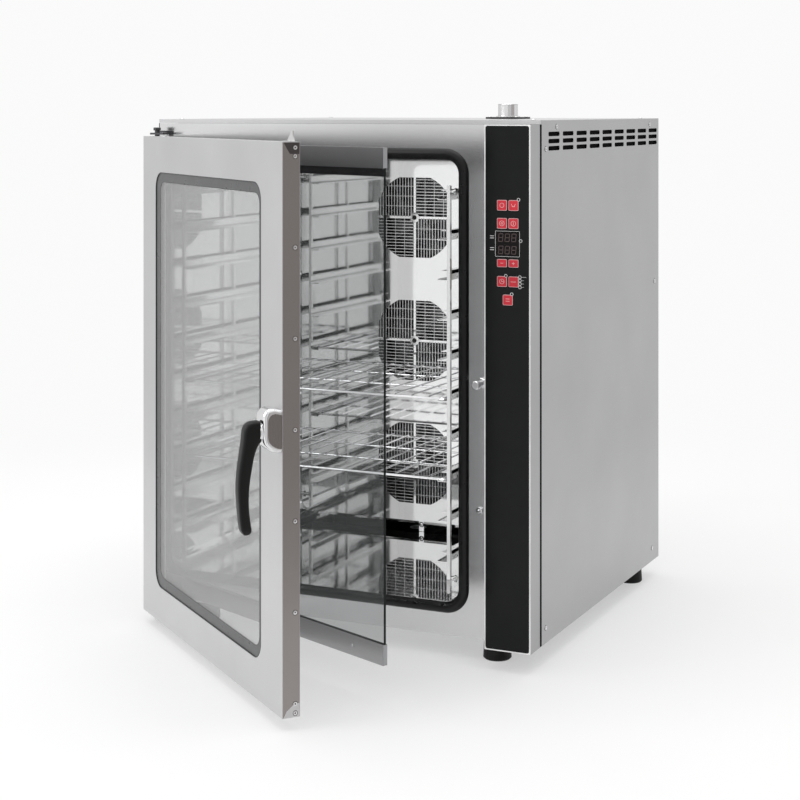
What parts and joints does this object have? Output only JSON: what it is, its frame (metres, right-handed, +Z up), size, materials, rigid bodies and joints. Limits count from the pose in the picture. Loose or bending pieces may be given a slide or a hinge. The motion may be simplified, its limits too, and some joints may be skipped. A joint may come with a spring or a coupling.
{
  "type": "combi steamer oven",
  "caption": "Free-standing combi steam oven, glass door ajar on the left, control column on the right, fans behind a slotted guard and wire shelves.",
  "frame": {"origin": "centre of the flat pad in the middle of the base pan's underside; the feet stand below it", "axes": "+X to the control column's side, -Y out of the door opening, +Z up"},
  "size_m": [0.8737, 1.3953, 1.086],
  "materials": {
    "brushed_steel": "satin brushed",
    "galvanised_steel": "dull zinc",
    "mirror_steel": "mirror polished",
    "mineral_wool": "fibrous",
    "black_rubber": "smooth",
    "heater_sheath": "heat tinted",
    "aluminium_wheel": "satin",
    "motor_paint": "semi-matte",
    "chrome_wire": "bright",
    "lamp_glass": "clear",
    "black_paint": "semi-matte",
    "valve_plastic": "matte",
    "black_plastic": "fine texture",
    "gloss_black": "high gloss",
    "display_black": "tinted",
    "circuit_green": "solder mask",
    "red_key": "satin",
    "polished_chrome": "mirror",
    "door_glass": "clear float",
    "inner_door_glass": "clear float"
  },
  "bodies": {
    "oven": {"base_pan": "galvanised_steel", "cable_gland": "black_plastic", "cavity_lamp": "lamp_glass", "cavity_liner": "mirror_steel", "circuit_board": "circuit_green", "control_box": "brushed_steel", "control_fascia": "gloss_black", "display_window": "display_black", "door_seal": "black_rubber", "door_strike": "polished_chrome", "door_switch_stud": "polished_chrome", "drain_fitting": "galvanised_steel", "fan_guard": "mirror_steel", "fan_motor_lower": "motor_paint", "fan_motor_middle": "motor_paint", "fan_motor_upper": "motor_paint", "foot_front_left": "black_rubber", "foot_front_right": "black_rubber", "foot_rear_left": "black_rubber", "foot_rear_right": "black_rubber", "front_frame": "brushed_steel", "heater_ring_lower": "heater_sheath", "heater_ring_middle": "heater_sheath", "heater_ring_upper": "heater_sheath", "insulation": "mineral_wool", "left_rack": "mirror_steel", "left_side_panel": "brushed_steel", "lower_hinge_bracket": "galvanised_steel", "outlet_base_plate": "black_paint", "rear_panel": "brushed_steel", "right_rack": "mirror_steel", "right_side_panel": "brushed_steel", "steam_injector": "galvanised_steel", "steam_outlet_pipe": "brushed_steel", "top_cover": "brushed_steel", "upper_hinge_bracket": "galvanised_steel", "water_inlet_valve": "valve_plastic"},
    "door": {"door_frame": "brushed_steel", "door_outer_glass": "door_glass", "glass_catch": "mirror_steel", "handle_boss": "polished_chrome"},
    "handle": {"handle_grip": "black_plastic", "latch_tongue": "galvanised_steel"},
    "inner_door": {"inner_glass": "inner_door_glass", "inner_glass_top_rail": "mirror_steel", "inner_glass_bottom_rail": "mirror_steel"},
    "fan_lower": {"fan_wheel_lower": "aluminium_wheel"},
    "fan_middle": {"fan_wheel_middle": "aluminium_wheel"},
    "fan_upper": {"fan_wheel_upper": "aluminium_wheel"},
    "lower_shelf_slide_body": {"lower_shelf": "chrome_wire"},
    "upper_shelf_slide_body": {"upper_shelf": "chrome_wire"},
    "button_light_key": {"button_light": "red_key"},
    "button_minus_key": {"button_minus": "red_key"},
    "button_mode_key": {"button_mode": "red_key"},
    "button_plus_key": {"button_plus": "red_key"},
    "button_program_key": {"button_program": "red_key"},
    "button_start_key": {"button_start": "red_key"},
    "button_steam_key": {"button_steam": "red_key"},
    "button_timer_key": {"button_timer": "red_key"},
    "button_vent_key": {"button_vent": "red_key"}
  },
  "joints": [
    {"name": "door_hinge", "type": "hinge", "parent": "oven", "child": "door", "pos_m": [-0.418, -0.4195, 0.481], "axis": [0, 0, -1], "range_deg": [-39, 71]},
    {"name": "inner_door_hinge", "type": "hinge", "parent": "door", "child": "inner_door", "pos_m": [-0.41228, -0.40766, 0.4965], "axis": [0, 0, 1], "range_deg": [-15.2, 27.7]},
    {"name": "handle_turn", "type": "hinge", "parent": "door", "child": "handle", "pos_m": [0.13762, -0.90289, 0.478], "axis": [0.6293, 0.7771, 0], "range_deg": [0, 60]},
    {"name": "fan_spin_lower", "type": "hinge", "parent": "oven", "child": "fan_lower", "pos_m": [-0.071, 0.17, 0.22], "axis": [0, -1, 0], "continuous": true},
    {"name": "fan_spin_middle", "type": "hinge", "parent": "oven", "child": "fan_middle", "pos_m": [-0.071, 0.17, 0.503], "axis": [0, -1, 0], "continuous": true},
    {"name": "fan_spin_upper", "type": "hinge", "parent": "oven", "child": "fan_upper", "pos_m": [-0.071, 0.17, 0.786], "axis": [0, -1, 0], "continuous": true},
    {"name": "lower_shelf_slide", "type": "slide", "parent": "oven", "child": "lower_shelf_slide_body", "axis": [0, -1, 0], "range_m": [0, 0.045]},
    {"name": "upper_shelf_slide", "type": "slide", "parent": "oven", "child": "upper_shelf_slide_body", "axis": [0, -1, 0], "range_m": [0, 0.045]},
    {"name": "button_light_press", "type": "slide", "parent": "oven", "child": "button_light_key", "axis": [0, 1, 0], "range_m": [0, 0.0012], "stiffness_N_per_m": 400},
    {"name": "button_minus_press", "type": "slide", "parent": "oven", "child": "button_minus_key", "axis": [0, 1, 0], "range_m": [0, 0.0012], "stiffness_N_per_m": 400},
    {"name": "button_mode_press", "type": "slide", "parent": "oven", "child": "button_mode_key", "axis": [0, 1, 0], "range_m": [0, 0.0012], "stiffness_N_per_m": 400},
    {"name": "button_plus_press", "type": "slide", "parent": "oven", "child": "button_plus_key", "axis": [0, 1, 0], "range_m": [0, 0.0012], "stiffness_N_per_m": 400},
    {"name": "button_program_press", "type": "slide", "parent": "oven", "child": "button_program_key", "axis": [0, 1, 0], "range_m": [0, 0.0012], "stiffness_N_per_m": 400},
    {"name": "button_start_press", "type": "slide", "parent": "oven", "child": "button_start_key", "axis": [0, 1, 0], "range_m": [0, 0.0012], "stiffness_N_per_m": 400},
    {"name": "button_steam_press", "type": "slide", "parent": "oven", "child": "button_steam_key", "axis": [0, 1, 0], "range_m": [0, 0.0012], "stiffness_N_per_m": 400},
    {"name": "button_timer_press", "type": "slide", "parent": "oven", "child": "button_timer_key", "axis": [0, 1, 0], "range_m": [0, 0.0012], "stiffness_N_per_m": 400},
    {"name": "button_vent_press", "type": "slide", "parent": "oven", "child": "button_vent_key", "axis": [0, 1, 0], "range_m": [0, 0.0012], "stiffness_N_per_m": 400}
  ],
  "couplings": [
    {"joint": "inner_door_hinge", "follows": "door_hinge", "ratio": 0.3897}
  ]
}
